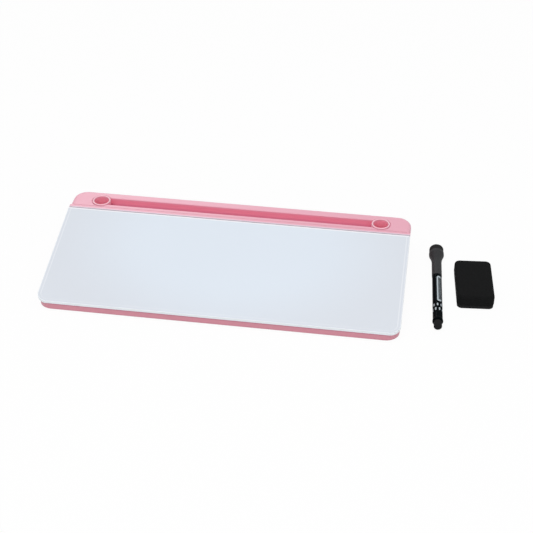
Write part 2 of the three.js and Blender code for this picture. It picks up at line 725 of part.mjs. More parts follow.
function eraserBody() {
  const levels = edgeLevels(ERASER_PAD_HEIGHT, ERASER_HEIGHT, 0, ERASER_EDGE, SMALL_EDGE_STEPS, 0);
  return stacked(levels, eraserPlate);
}

// Assembly of the board
const board = new THREE.Group();
board.add(piece('top_shell', topShell(), pink));
board.add(piece('pen_tray', penTray(), pink));
board.add(piece('bottom_cover', bottomCover(), pink));

const slope = new THREE.Group();
slope.position.z = glassFootZ;
slope.rotation.x = tilt;
slope.add(piece('glass_panel', glassPanel(), glass));
slope.add(piece('white_backing', backingSheet(), white));
const tapes = {
  tape_front: tapeStrip(-tapeEnd, tapeEnd, tapeFront, tapeFront + TAPE_WIDTH),
  tape_middle: tapeStrip(-tapeInnerSide + TAPE_MARGIN, tapeInnerSide - TAPE_MARGIN,
    tapeMiddle - TAPE_WIDTH / 2, tapeMiddle + TAPE_WIDTH / 2),
  tape_rear: tapeStrip(-tapeSide, tapeSide, tapeBack - TAPE_WIDTH, tapeBack),
  tape_left: tapeStrip(-tapeSide, -tapeInnerSide, tapeFront + TAPE_WIDTH + TAPE_MARGIN,
    tapeBack - TAPE_WIDTH - TAPE_MARGIN),
  tape_right: tapeStrip(tapeInnerSide, tapeSide, tapeFront + TAPE_WIDTH + TAPE_MARGIN,
    tapeBack - TAPE_WIDTH - TAPE_MARGIN),
};
for (const [name, strip] of Object.entries(tapes)) slope.add(piece(name, strip, foamTape));
board.add(slope);

['left', 'right'].forEach((side, i) => {
  const cup = piece(`pen_cup_${side}`, penCup(), pink);
  cup.position.set(cupPlaces[i].x, cupPlaces[i].y, stripTopZ);
  board.add(cup);
});
screwPlaces.forEach(({ x, y }, i) => {
  const mesh = piece(`screw_${i + 1}`, screw(), steel);
  mesh.position.set(x, y, undersideZ + SCREW_SINK);
  board.add(mesh);
});
footPlaces.forEach(({ x, y }, i) => {
  const mesh = piece(`foot_${i + 1}`, rubberFoot(), rubber);
  mesh.position.set(x, y, 0);
  board.add(mesh);
});

// The marker lies on the rim of its cap and on the bead at the other end of its barrel
const beadRadius = BARREL_RADIUS + BARREL_BEAD;
const beadZ = PLUG_LENGTH + 2 * BARREL_BEAD;
const rimZ = capEndZ - CAP_RIM_LENGTH + CAP_RIM_ROUND;
const markerRise = Math.atan((CAP_RIM_RADIUS - beadRadius) / (rimZ - beadZ));
const markerYaw = THREE.MathUtils.degToRad(MARKER_YAW_DEGREES);
const marker = new THREE.Group();
marker.rotation.set(markerRise - Math.PI / 2, 0, markerYaw, 'ZXY');
const markerRun = MARKER_LENGTH * Math.cos(markerRise);
const markerFarX = BOARD_LENGTH / 2 + MARKER_BOARD_GAP + CAP_RIM_RADIUS;
const markerFarY = boardDepth - MARKER_REAR_SETBACK;
marker.position.set(
  markerFarX + markerRun * Math.sin(markerYaw),
  markerFarY - markerRun * Math.cos(markerYaw),
  beadRadius * Math.cos(markerRise) - beadZ * Math.sin(markerRise),
);
marker.add(piece('marker_end_plug', endPlug(), blackMatte));
marker.add(piece('marker_barrel', markerBarrel(), blackGloss));
marker.add(piece('ink_reservoir', inkReservoir(), fibre));
marker.add(piece('nib_holder', nibHolder(), blackMatte));
marker.add(piece('marker_nib', markerNib(), inkNib));
marker.add(piece('marker_cap', markerCap(), blackMatte));
marker.add(piece('cap_felt', capFelt(), felt));

const eraser = new THREE.Group();
const eraserYaw = THREE.MathUtils.degToRad(ERASER_YAW_DEGREES);
const eraserReach = (ERASER_WIDTH / 2) * Math.cos(eraserYaw) + (ERASER_LENGTH / 2) * Math.sin(eraserYaw);
const markerNearX = markerFarX + markerRun * Math.sin(markerYaw) + beadRadius;
eraser.position.set(markerNearX + ERASER_MARKER_GAP + eraserReach, boardDepth - ERASER_REAR_SETBACK, 0);
eraser.rotation.z = eraserYaw;
eraser.add(piece('eraser_pad', eraserPad(), felt));
eraser.add(piece('eraser_body', eraserBody(), blackMatte));

// The origin is the middle of the set's footprint, on the surface that it stands on
const set = new THREE.Group();
set.add(board, marker, eraser);
set.updateMatrixWorld(true);
const extent = new THREE.Box3().setFromObject(set, true);
const middle = extent.getCenter(new THREE.Vector3());
set.position.set(-middle.x, -middle.y, -extent.min.z);

export default set;
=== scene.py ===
"""A desktop glass whiteboard with its marker and eraser: looks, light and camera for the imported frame.

Metres, +X along the board, +Y to the back, +Z up. Sizes are written in millimetres times MM.
"""

import json
import math

import bmesh
import bpy
from mathutils import Matrix, Vector


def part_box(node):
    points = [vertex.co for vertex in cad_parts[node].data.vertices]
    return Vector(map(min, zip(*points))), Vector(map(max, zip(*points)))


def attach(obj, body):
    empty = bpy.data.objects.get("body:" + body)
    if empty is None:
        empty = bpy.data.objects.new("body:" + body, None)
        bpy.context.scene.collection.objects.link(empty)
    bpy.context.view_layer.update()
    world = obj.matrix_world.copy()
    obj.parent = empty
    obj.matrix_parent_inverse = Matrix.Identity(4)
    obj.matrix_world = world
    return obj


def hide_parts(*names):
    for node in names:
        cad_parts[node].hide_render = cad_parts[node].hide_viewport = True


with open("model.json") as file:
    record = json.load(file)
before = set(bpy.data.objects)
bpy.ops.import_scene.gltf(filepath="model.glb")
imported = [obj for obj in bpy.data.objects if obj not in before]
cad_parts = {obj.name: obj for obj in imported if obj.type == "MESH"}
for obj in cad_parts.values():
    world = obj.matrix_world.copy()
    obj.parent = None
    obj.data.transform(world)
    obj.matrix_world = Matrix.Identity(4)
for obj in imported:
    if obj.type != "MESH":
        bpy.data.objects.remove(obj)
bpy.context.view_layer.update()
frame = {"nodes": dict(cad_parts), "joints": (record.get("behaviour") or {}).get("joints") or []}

MM = 0.001

# The camera: where it stands, how it is turned, and its lens
CAMERA_PLACE = Vector((172.24, -1173.64, 879.4)) * MM
CAMERA_AZIMUTH = math.radians(8.651)
CAMERA_ELEVATION = math.radians(35.92)
CAMERA_LENS = 87.8
CAMERA_SENSOR = 36.0
CAMERA_NEAR = 0.05

# Merging and rounding the housing's mouldings
MERGE_DISTANCE = 0.002 * MM
FLAT_ANGLE = math.radians(0.4)
SHARP_ANGLE = math.radians(32)
SMOOTH_ANGLE = math.radians(40)
MOULD_EDGE = 0.35 * MM
COVER_EDGE = 0.25 * MM
MOULD_EDGE_STEPS = 3

# Picking edges to round: those on the mouldings' outside, and those that stand upright
LIP_FOOT = 2 * MM
LIP_REACH = 8 * MM
OUTER_INSET = 1.3 * MM
OUTER_FOOT = 0.3 * MM
TRAY_TOP_EDGES = 1.4 * MM
UNDERSIDE_EDGES = 0.1 * MM
UPRIGHT_LEAST = MM

# The slope that the glass lies on: x along the board, y up the slope, z square to the glass
GLASS_TILT = math.radians(11)
FRONT_BAND = 8.2 * MM
GLASS_LENGTH = 400 * MM
GLASS_DEPTH = 147.5 * MM
GLASS_THICKNESS = 4 * MM
GLASS_FRONT_CORNER = 12 * MM
GLASS_REAR_CORNER = 2 * MM
GLASS_ARRIS = 0.5 * MM
GLASS_BACK_GAP = 0.4 * MM
CORNER_STEPS = 24
ARRIS_STEPS = 3
LEVEL_FACE = 0.999

# Pen groove and pen cups
GROOVE_WIDTH = 14.1 * MM
GROOVE_DEPTH = 9.5 * MM
CUP_BORE = 8.6 * MM
CUP_WALL = 1.2 * MM
CUP_RIM_WIDTH = 2 * MM
CUP_RIM_HEIGHT = 0.9 * MM
CUP_RIM_FOOT = -0.95 * MM
CUP_DEPTH = 30 * MM
CUP_FLOOR = 1.6 * MM
CUP_CORNER = 1.5 * MM
CUP_RIM_ROUND = 0.95 * MM
LATHE_STEPS = 72
ROUND_STEPS = 6

# Rubber feet
FOOT_RADIUS = 7 * MM
FOOT_HEIGHT = 2.6 * MM
FOOT_EDGE = 0.8 * MM
FOOT_TOP_EDGE = FOOT_EDGE / 3

# Marker, along its axis from the end plug to the felt
PLUG_RADIUS = 4.5 * MM
PLUG_LENGTH = 8.05 * MM
PLUG_ROUND = 1.2 * MM
PLUG_INSERT = 8 * MM
BARREL_START = 8.3 * MM
BARREL_END = 88.4 * MM
BARREL_RADIUS = 5.5 * MM
BARREL_MOUTH_RADIUS = 5.4 * MM
BARREL_ROOT_RADIUS = 5.1 * MM
BEAD_RADIUS = 5.9 * MM
BEAD_LENGTH = 4.5 * MM
BEAD_RISE = 0.8 * MM
BEAD_ROUNDS = (0.2 * MM, 0.4 * MM, 0.5 * MM, 0.8 * MM)
BARREL_END_ROUND = 0.3 * MM
BORE_RADIUS = 3.4 * MM
NECK_RADIUS = 4.5 * MM
NECK_END = 99.4 * MM
HOLDER_START = 94.4 * MM
HOLDER_END = 109.4 * MM
HOLDER_SHOULDER = 101 * MM
HOLDER_TIP_RADIUS = 3 * MM
HOLDER_BORE = 2.15 * MM
HOLDER_SHOULDER_ROUND = 0.6 * MM
HOLDER_TIP_ROUND = 0.4 * MM
NIB_START = 89.9 * MM
NIB_END = 115.4 * MM
NIB_RADIUS = 1.9 * MM
NIB_ROUND = 1.3 * MM
CAP_MOUTH = 88.8 * MM
CAP_END = 133.2 * MM
CAP_RADIUS = 5.65 * MM
CAP_INNER = 4.75 * MM
CAP_FLARE = 113.9 * MM
FLARE_STEPS = 8
CAP_RIM_START = 128.2 * MM
CAP_RIM_RADIUS = 8.5 * MM
CAP_RIM_STEP = 0.2 * MM
CAP_RIM_RISE = 0.8 * MM
CAP_MOUTH_ROUND = 0.35 * MM
CAP_RIM_FOOT_ROUND = 0.3 * MM
CAP_RIM_TOP_ROUND = 0.5 * MM
CAP_FLOOR = 130.7 * MM
CAP_HOLLOW_END = 129.1 * MM
FELT_SEAT_RADIUS = 7.6 * MM
FELT_RADIUS = 8.15 * MM
FELT_END = 141.2 * MM
FELT_ROUND = 1 * MM
FELT_FOOT_ROUND = 0.5 * MM
FIT = 0.25 * MM

# Prints on the barrel: the label, its rules and the dashes, each width first
PRINT_LIFT = 0.02 * MM
PRINT_THICKNESS = 0.03 * MM
PRINT_STEPS = 12
LABEL_MIDDLE = 61.5 * MM
LABEL_SIZE = (5.6 * MM, 45.5 * MM)
LABEL_TURN = math.radians(25)
RULE_SIZE = (1.05 * MM, 40 * MM)
RULE_OFFSETS = (-0.6 * MM, 0.7 * MM, 2 * MM)
DASH_RINGS = (33 * MM, 25.5 * MM)
DASH_SIZE = (1.6 * MM, 4.4 * MM)
DASH_COUNT = 8

# Eraser
ERASER_YAW = math.radians(4.9)
ERASER_WIDTH = 41 * MM
ERASER_LENGTH = 70.8 * MM
ERASER_CORNER = 6 * MM
ERASER_EDGE = 3 * MM
ERASER_FOOT_EDGE = 0.5 * MM
PAD_INSET = 0.5 * MM
PAD_EDGE = 0.4 * MM
ERASER_CORNER_STEPS = 10
ERASER_TOP_STEPS = 5
ERASER_FOOT_STEPS = 3
FOAM_PORE = 0.9 * MM
FOAM_PORE_WALL = (0.15, 0.42)


class Wire:
    """One socket of a finish's node tree. Arithmetic on wires adds Math nodes to that tree."""

    def __init__(self, finish, socket):
        self.finish = finish
        self.socket = socket

    def maths(self, operation, *values):
        return self.finish.node("ShaderNodeMath", {"operation": operation}, dict(enumerate(values)))

    def __add__(self, other):
        return self.maths("ADD", self, other)

    def __radd__(self, other):
        return self.maths("ADD", other, self)

    def __sub__(self, other):
        return self.maths("SUBTRACT", self, other)

    def __rsub__(self, other):
        return self.maths("SUBTRACT", other, self)

    def __mul__(self, other):
        return self.maths("MULTIPLY", self, other)

    def __rmul__(self, other):
        return self.maths("MULTIPLY", other, self)

    def __truediv__(self, other):
        return self.maths("DIVIDE", self, other)

    def __pow__(self, other):
        return self.maths("POWER", self, other)

    def __abs__(self):
        return self.maths("ABSOLUTE", self)

    def at_least(self, low):
        return self.maths("MAXIMUM", self, low)

    def limited(self):
        return self.finish.node("ShaderNodeClamp", sockets={0: self})


class Finish:
    """The node tree of a material or of the world, and the one method that adds a node to it."""

    def __init__(self, owner):
        self.owner = owner
        owner.use_nodes = True
        self.tree = owner.node_tree
        self.tree.nodes.clear()

    def node(self, kind, settings=None, sockets=None, out=0):
        made = self.tree.nodes.new(kind)
        for name, value in (settings or {}).items():
            setattr(made, name, value)
        for key, value in (sockets or {}).items():
            if isinstance(value, Wire):
                self.tree.links.new(value.socket, made.inputs[key])
            else:
                made.inputs[key].default_value = value
        return Wire(self, made.outputs[out]) if made.outputs else None

    def axes(self, place=None):
        split = self.node("ShaderNodeSeparateXYZ", sockets={0: place or self.place})
        outputs = split.socket.node.outputs
        return [Wire(self, outputs[axis]) for axis in range(3)]

    def noise(self, size, detail=2.0, roughness=0.5, place=None):
        """Noise whose lumps are about this size across."""
        sockets = {"Vector": place or self.place, "Scale": 1 / size, "Detail": detail,
                   "Roughness": roughness}
        return self.node("ShaderNodeTexNoise", sockets=sockets)

    def between(self, value, low, high):
        """0 at low, 1 at high, and a smooth step on the way."""
        return self.node("ShaderNodeMapRange", {"interpolation_type": "SMOOTHSTEP"},
                         {0: value, 1: low, 2: high, 3: 0.0, 4: 1.0})

    def blend(self, factor, first, second):
        """Mixes two colours."""
        sockets = {0: factor, 6: self.rgba(first), 7: self.rgba(second)}
        return self.node("ShaderNodeMix", {"data_type": "RGBA"}, sockets, out=2)

    @staticmethod
    def rgba(colour):
        return colour if isinstance(colour, Wire) else (*colour, 1)

    def scaled(self, colour, amount):
        """A colour made lighter or darker."""
        return self.node("ShaderNodeVectorMath", {"operation": "SCALE"}, {0: colour, "Scale": amount})

    def line(self, value, middle, reach):
        """1 where the value is at the middle, falling to 0 within the reach on both sides."""
        return self.between(abs(value - middle), reach, 0)

    def bump(self, height, distance, strength=1.0):
        sockets = {"Height": height, "Distance": distance, "Strength": strength}
        return self.node("ShaderNodeBump", sockets=sockets)

    def surface(self, sockets):
        """Ends the tree in a Principled BSDF with these sockets."""
        shader = self.node("ShaderNodeBsdfPrincipled", sockets=sockets)
        return self.output(shader)

    def output(self, shader, kind="ShaderNodeOutputMaterial"):
        self.node(kind, sockets={"Surface": shader})
        return self.owner

    def seen_directly(self):
        """1 for what is seen as it is, in a reflection or through glass, and 0 for what it lights."""
        path = self.node("ShaderNodeLightPath").socket.node.outputs
        rays = [Wire(self, path[f"Is {kind} Ray"]) for kind in ("Camera", "Glossy", "Transmission")]
        return (rays[0] + rays[1] + rays[2]).limited()


def new_finish(name):
    """An empty material whose patterns follow the piece's own coordinates."""
    finish = Finish(bpy.data.materials.new(name))
    finish.place = finish.node("ShaderNodeTexCoord", out="Object")
    return finish


# Where things are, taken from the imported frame

def corners_of(node):
    """The low and the high corner of a node's box."""
    return [Vector(corner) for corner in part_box(node)]


def middle_of(node):
    """The middle of a node's box."""
    low, high = corners_of(node)
    return (low + high) / 2


shell_low, shell_high = corners_of("top_shell")
tray_low, tray_high = corners_of("pen_tray")
board_x = (shell_low.x + shell_high.x) / 2
strip_z = tray_high.z
glass_front_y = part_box("glass_panel")[0][1]
glass_foot_y = glass_front_y + (GLASS_THICKNESS - GLASS_ARRIS) * math.sin(GLASS_TILT)
glass_foot_z = shell_low.z + FRONT_BAND
lip_front_y = glass_foot_y + GLASS_DEPTH * math.cos(GLASS_TILT) + GLASS_BACK_GAP
slope_place = (Matrix.Translation((board_x, glass_foot_y, glass_foot_z))
               @ Matrix.Rotation(GLASS_TILT, 4, "X"))
cup_middles = {side: middle_of(f"pen_cup_{side}") for side in ("left", "right")}
groove_y = cup_middles["left"].y


def marker_place():
    """Lays a shape made along +Z on the marker's axis, with the end plug's end at 0."""
    axis = Vector(next(joint for joint in frame["joints"] if joint["name"] == "cap_pull")["axis"])
    plug = frame["nodes"]["marker_end_plug"]
    corners = {tuple(round(part, 6) for part in plug.matrix_world @ vertex.co)
               for vertex in plug.data.vertices}
    middle = sum((Vector(corner) for corner in corners), Vector()) / len(corners)
    reach = min((Vector(corner) - middle).dot(axis) for corner in corners)
    turn = Vector((0, 0, 1)).rotation_difference(axis).to_matrix().to_4x4()
    return Matrix.Translation(middle + reach * axis) @ turn


# Finishes

PINK = (0.825, 0.405, 0.502)
# Painted shade: the walls' deeper pink, and the darker crease under the glass and at the foot
WALL_SHADE_PINK = (0.64, 0.258, 0.322)
CREASE_SHADE_PINK = (0.50, 0.16, 0.23)
# A painted highlight on the rear lip's front
LIP_HIGHLIGHT_PINK = (0.78, 0.605, 0.705)
# Painted shadow in the gap between the rear lip and the glass
GAP_SHADE_GREY = (0.72, 0.66, 0.72)
# Painted shade in the groove, deeper on its floor
GROOVE_SHADE_PINK = (0.93, 0.325, 0.445)
GROOVE_FLOOR_SHADE_PINK = (0.60, 0.135, 0.225)
# A painted highlight on the cups' rims, and painted shade inside them
RIM_HIGHLIGHT_PINK = (0.92, 0.55, 0.63)
CUP_SHADE_PINK = (1.0, 0.375, 0.495)
FACE_WHITE = (0.735, 0.802, 0.884)
# Painted shade towards the glass's ends and front
FACE_SHADE = (0.70, 0.738, 0.80)
# Painted highlights and painted reflections of the glass's edges
FACE_HIGHLIGHT = (0.93, 0.94, 0.98)
LOW_GLOSS = 0.06
DARK_GLOSS = 0.015
BARREL_GLOSS = 0.009
PLUG_TONE = 0.017
HOLDER_TONE = 0.02
CAP_TONE = 0.041

# Where the painted shade and painted highlights on the pinks change. Each pair is where a tone starts
# and where it is full. A drop is measured down from the glass's slope, a sink from the strip's top, and
# the gap from the rear lip's front.
WALL_SHADE_DROP = (-0.2 * MM, 0.3 * MM)
CREASE_SHADE_DROP = (2.1 * MM, 0.8 * MM)
FOOT_SHADE = (1.9 * MM, 0.7 * MM)
FOOT_SHADE_PART = 0.6
LIP_HIGHLIGHT = (1.7 * MM, 1.0 * MM)
GAP_SHADE_BACK = (0.12 * MM, 0)
GAP_SHADE_FRONT = (-1.2 * MM, -1 * MM)
TRAY_WALL_SHADE = (4 * MM, 9 * MM)
GROOVE_SHADE_SINK = (0.4 * MM, 2.4 * MM)
GROOVE_SIDES = (GROOVE_WIDTH / 2 + 0.6 * MM, GROOVE_WIDTH / 2 + 0.1 * MM)
GROOVE_END = 2 * MM
GROOVE_FLOOR_SHADE = (GROOVE_DEPTH - 4 * MM, GROOVE_DEPTH - MM)
BRINK_SHADE_FRONT = (0.8 * MM, 0.6 * MM)
BRINK_SHADE_BACK = (-0.6 * MM, -0.4 * MM)
CUP_SHADE_WALL = (CUP_BORE + 0.25 * MM, CUP_BORE)
CUP_SHADE_SINK = (0.5 * MM, 3 * MM)
CUP_RIM_HIGHLIGHT = (0.5 * MM, 0.2 * MM)

# The glass's face: painted reflections of its edges and painted highlights as pale lines inside them,
# stronger at the sides, and painted shade that makes its ends greyer
EDGE_REFLECTION = 3.6 * MM
EDGE_REFLECTION_REACH = 0.9 * MM
EDGE_REFLECTION_FRONT = 0.15
ARRIS_HIGHLIGHT = (1.3 * MM, 0.5 * MM)
ARRIS_HIGHLIGHT_FRONT = 0.2
SIDE_HIGHLIGHT = 0.3
SIDE_START = (2 * MM, 14 * MM)
REAR_HIGHLIGHT = (2.4 * MM, 1.7 * MM)
REAR_GAP_SHADE = (1.0 * MM, 0.7 * MM)
FACE_MIDDLE = 0.8
FACE_SHADE_RANGE = (0.45, 1.1)


def housing_plastic(name, tone=None):
    """Pastel pink moulded plastic with a fine grain; tone gives its colour from place to place."""
    finish = new_finish(name)
    cloud = finish.noise(60 * MM, detail=2)
    colour = tone(finish) if tone else PINK
    return finish.surface({
        "Base Color": finish.scaled(colour, 0.98 + 0.04 * cloud),
        "Roughness": 0.34 + 0.1 * finish.noise(9 * MM, detail=4),
        "IOR": 1.48,
        "Normal": finish.bump(finish.noise(0.5 * MM, detail=3), 0.012 * MM, 0.6),
    })


def wall_shade_and_highlight(finish):
    """Painted shade: the walls' deeper pink, darker under the glass and at the foot, and grey in the gap
    behind the glass; and a painted highlight on the lip's pale front.
    """
    x, y, z = finish.axes()
    drop = (y - glass_foot_y) * math.tan(GLASS_TILT) + glass_foot_z - z
    # The walls are painted a deeper pink, as painted shade
    wall = finish.between(drop, *WALL_SHADE_DROP)
    crease_shade = finish.between(drop, *CREASE_SHADE_DROP)
    foot = finish.between(z - shell_low.z, *FOOT_SHADE)
    past_gap = y - lip_front_y
    # The rear lip's front is painted paler, as a painted highlight
    lip = finish.blend(finish.between(past_gap, *LIP_HIGHLIGHT), PINK, LIP_HIGHLIGHT_PINK)
    # The gap in front of the rear lip is painted grey, as painted shadow
    gap = finish.between(past_gap, *GAP_SHADE_BACK) * finish.between(past_gap, *GAP_SHADE_FRONT)
    top = finish.blend(gap, lip, GAP_SHADE_GREY)
    sides = finish.blend(wall, top, WALL_SHADE_PINK)
    # The crease under the glass and at the foot is painted darker, as painted shadow
    return finish.blend(wall * (crease_shade + FOOT_SHADE_PART * foot).limited(), sides, CREASE_SHADE_PINK)


def groove_painted_shade(finish):
    """Painted shade: deepens in the groove and on its near brink, more on its floor, and down the tray's
    walls.
    """
    x, y, z = finish.axes()
    depth = strip_z - z
    # Painted shade: the groove's sides and floor, its near brink and the tray's walls are painted deeper
    sunk_shade = finish.between(depth, *GROOVE_SHADE_SINK) * finish.between(abs(y - groove_y), *GROOVE_SIDES)
    ahead = groove_y - GROOVE_WIDTH / 2 - y
    brink = finish.between(ahead, *BRINK_SHADE_FRONT) * finish.between(ahead, *BRINK_SHADE_BACK)
    reach = (cup_middles["right"].x - cup_middles["left"].x) / 2
    along = finish.between(abs(x - board_x), reach, reach - GROOVE_END)
    inside = finish.blend(finish.between(depth, *GROOVE_FLOOR_SHADE), GROOVE_SHADE_PINK, GROOVE_FLOOR_SHADE_PINK)
    outside = finish.blend(finish.between(depth, *TRAY_WALL_SHADE), PINK, WALL_SHADE_PINK)
    return finish.blend(sunk_shade.at_least(brink) * along, outside, inside)


def cup_shade_and_highlight(side):
    """A painted highlight on the pale rim and painted shade in the deep inside of the pen cup on this
    side.
    """
    def tone(finish):
        x, y, z = finish.axes()
        middle = cup_middles[side]
        across = ((x - middle.x) ** 2.0 + (y - middle.y) ** 2.0) ** 0.5
        depth = strip_z + CUP_RIM_HEIGHT - z
        # Painted shade in the cup's well, and a painted highlight on its rim
        sunk_shade = finish.between(across, *CUP_SHADE_WALL) * finish.between(depth, *CUP_SHADE_SINK)
        rim = finish.blend(finish.between(depth, *CUP_RIM_HIGHLIGHT), PINK, RIM_HIGHLIGHT_PINK)
        return finish.blend(sunk_shade, rim, CUP_SHADE_PINK)
    return tone


def slope_axes(finish):
    """x along the board, y up the glass's slope and z square to it."""
    return finish.axes(finish.node("ShaderNodeMapping", {"vector_type": "TEXTURE"}, {
        "Vector": finish.place, "Location": slope_place.translation, "Rotation": (GLASS_TILT, 0, 0)}))


def painted_face():
    """The glass's polished face over its white paint, with painted reflections and painted highlights as
    faint lines where its edges show through, painted shade towards its ends and a painted shadow at the
    rear gap.
    """
    finish = new_finish("board_glass")
    x, y, z = slope_axes(finish)
    past_side = abs(x) - (GLASS_LENGTH / 2 - GLASS_FRONT_CORNER)
    past_front = GLASS_FRONT_CORNER - y
    past = (past_side.at_least(0) ** 2.0 + past_front.at_least(0) ** 2.0) ** 0.5
    inset = GLASS_FRONT_CORNER - past
    behind = GLASS_DEPTH - y
    # Painted reflections of the edges inside them, and painted highlights on the arrises and along the
    # rear edge
    side = SIDE_HIGHLIGHT * finish.between(y, *SIDE_START)
    lines = (finish.line(inset, EDGE_REFLECTION, EDGE_REFLECTION_REACH) * (EDGE_REFLECTION_FRONT + side)
             + finish.between(inset, *ARRIS_HIGHLIGHT) * (ARRIS_HIGHLIGHT_FRONT + side)
             + finish.between(behind, *REAR_HIGHLIGHT))
    cloud = finish.noise(120 * MM, detail=2)
    # Painted shade: the face greys towards its ends and its front
    from_middle = ((x / (GLASS_LENGTH / 2)) ** 2.0 + (y / GLASS_DEPTH - FACE_MIDDLE) ** 2.0) ** 0.5
    grey = finish.between(from_middle, *FACE_SHADE_RANGE)
    white = finish.scaled(finish.blend(grey, FACE_WHITE, FACE_SHADE), 0.99 + 0.02 * cloud)
    lined = finish.blend(lines.limited(), white, FACE_HIGHLIGHT)
    return finish.surface({
        # The face's rear edge, in the gap behind the glass, gets a painted shadow
        "Base Color": finish.blend(finish.between(behind, *REAR_GAP_SHADE), lined, GAP_SHADE_GREY),
        "Roughness": 0.03 + 0.04 * finish.noise(45 * MM, detail=4),
        "IOR": 1.5,
    })


def ground_edge():
    """The glass's ground edge: a pale, slightly green-blue frost, with painted shade in the gap at the
    rear.
    """
    finish = new_finish("glass_edge")
    x, y, z = slope_axes(finish)
    frost = finish.noise(0.6 * MM, detail=3)
    pale = finish.blend(frost, (0.79, 0.85, 0.89), (0.85, 0.90, 0.94))
    # The rear edge, in the gap behind the glass, gets a painted shadow
    rear = finish.between(GLASS_DEPTH - y, *REAR_GAP_SHADE)
    return finish.surface({
        "Base Color": finish.blend(rear, pale, GAP_SHADE_GREY),
        "Roughness": 0.3 + 0.2 * frost,
        "Normal": finish.bump(frost, 0.02 * MM, 0.5),
    })


def plain_finish(name, dark, light, *, roughness, lump, bump_size, bump_depth, metallic=0.0,
                 gloss=0.5):
    """A finish whose colour drifts between two tones in lumps, with a fine bump."""
    finish = new_finish(name)
    cloud = finish.noise(lump, detail=4)
    return finish.surface({
        "Base Color": finish.blend(cloud, dark, light),
        "Roughness": roughness - 0.06 + 0.12 * cloud,
        "Metallic": metallic,
        "Specular IOR Level": gloss,
        "Normal": finish.bump(finish.noise(bump_size, detail=3), bump_depth, 0.6),
    })


def fibre_finish(name, dark, light, strand, depth):
    """Felt: short crossed fibres, which catch light on their tips."""
    finish = new_finish(name)
    stretched = finish.node("ShaderNodeMapping", sockets={"Vector": finish.place, "Scale": (1, 1, 3)})
    fuzz = finish.noise(strand, detail=6, roughness=0.7, place=stretched)
    clump = finish.noise(6 * strand, detail=2)
    return finish.surface({
        "Base Color": finish.blend(fuzz * 0.7 + clump * 0.3, dark, light),
        "Roughness": 0.95,
        "Specular IOR Level": LOW_GLOSS,
        "Sheen Weight": 0.015,
        "Sheen Roughness": 0.5,
        "Normal": finish.bump(fuzz, depth, 0.9),
    })


def foam_finish():
    """Closed-cell foam: small open pores in a matte near-black face."""
    finish = new_finish("eraser_foam")
    pores = finish.node("ShaderNodeTexVoronoi", {"feature": "F1"}, {
        "Vector": finish.place, "Scale": 1 / FOAM_PORE})
    # The pores are painted darker than the walls between them, as painted shade in the pores
    hollows = finish.between(pores, *FOAM_PORE_WALL)
    cloud = finish.noise(8 * MM, detail=3)
    return finish.surface({
        "Base Color": finish.blend(hollows * (0.6 + 0.4 * cloud), (0.0042, 0.0044, 0.0045),
                                   (0.0100, 0.0103, 0.0105)),
        "Roughness": 0.9,
        "Specular IOR Level": LOW_GLOSS,
        "Normal": finish.bump(hollows, 0.12 * MM, 0.6),
    })


# Shapes

def mesh_of(name, shape, finishes=()):
    """Turns a bmesh into a mesh with these finishes."""
    mesh = bpy.data.meshes.new(name)
    shape.to_mesh(mesh)
    shape.free()
    for finish in finishes:
        mesh.materials.append(finish)
    return mesh


def new_object(name, data):
    """Puts a mesh, lamp or camera into the scene."""
    made = bpy.data.objects.new(name, data)
    bpy.context.scene.collection.objects.link(made)
    return made


def show(name, shape, finishes, body, replaces=()):
    """Makes a bmesh a finished piece that rides on a body."""
    mesh = mesh_of(name, shape, finishes)
    mesh.shade_smooth()
    mesh.set_sharp_from_angle(angle=SMOOTH_ANGLE)
    piece = new_object(name, mesh)
    piece.modifiers.new("flat faces stay flat", "WEIGHTED_NORMAL").keep_sharp = True
    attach(piece, body)
    if replaces:
        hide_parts(*replaces)
    return piece


def edge_bevel(shape, edges, radius, steps):
    bmesh.ops.bevel(shape, geom=edges, offset=radius, offset_type="OFFSET", segments=steps,
                    profile=0.5, affect="EDGES", clamp_overlap=True, material=-1)


def softened_copy(node, radius, wanted):
    """A merged copy of a CAD node, with the sharp edges that wanted picks rounded."""
    source = frame["nodes"][node]
    shape = bmesh.new()
    shape.from_mesh(source.data)
    shape.transform(source.matrix_world)
    bmesh.ops.remove_doubles(shape, verts=shape.verts, dist=MERGE_DISTANCE)
    bmesh.ops.dissolve_limit(shape, angle_limit=FLAT_ANGLE, use_dissolve_boundaries=False,
                             verts=shape.verts, edges=shape.edges, delimit={"NORMAL"})
    edges = [edge for edge in shape.edges
             if edge.is_manifold and edge.calc_face_angle() > SHARP_ANGLE and wanted(edge)]
    edge_bevel(shape, edges, radius, MOULD_EDGE_STEPS)
    return shape


def turned(outline, rounds=None, closed=False, place=None):
    """Spins an outline of (radius, height) points about Z; rounds maps a point's number to a radius."""
    shape = bmesh.new()
    points = [shape.verts.new((radius, 0, height)) for radius, height in outline]
    ends = points[1:] + (points[:1] if closed else [])
    for first, second in zip(points, ends):
        shape.edges.new((first, second))
    for number, radius in (rounds or {}).items():
        bmesh.ops.bevel(shape, geom=[points[number]], offset=radius, offset_type="OFFSET",
                        segments=ROUND_STEPS, profile=0.5, affect="VERTICES", material=-1)
    bmesh.ops.spin(shape, geom=shape.verts[:] + shape.edges[:], cent=(0, 0, 0), axis=(0, 0, 1),
                   dvec=(0, 0, 0), angle=math.tau, steps=LATHE_STEPS, use_merge=True)
    bmesh.ops.remove_doubles(shape, verts=shape.verts, dist=MERGE_DISTANCE)
    bmesh.ops.recalc_face_normals(shape, faces=shape.faces)
    shape.transform(place or Matrix())
    return shape


def block(low, high):
    """A plain box between two corners, ready for its edges to be rounded."""
    shape = bmesh.new()
    bmesh.ops.create_cube(shape, size=1)
    bmesh.ops.scale(shape, vec=high - low, verts=shape.verts)
    bmesh.ops.translate(shape, vec=(low + high) / 2, verts=shape.verts)
    return shape


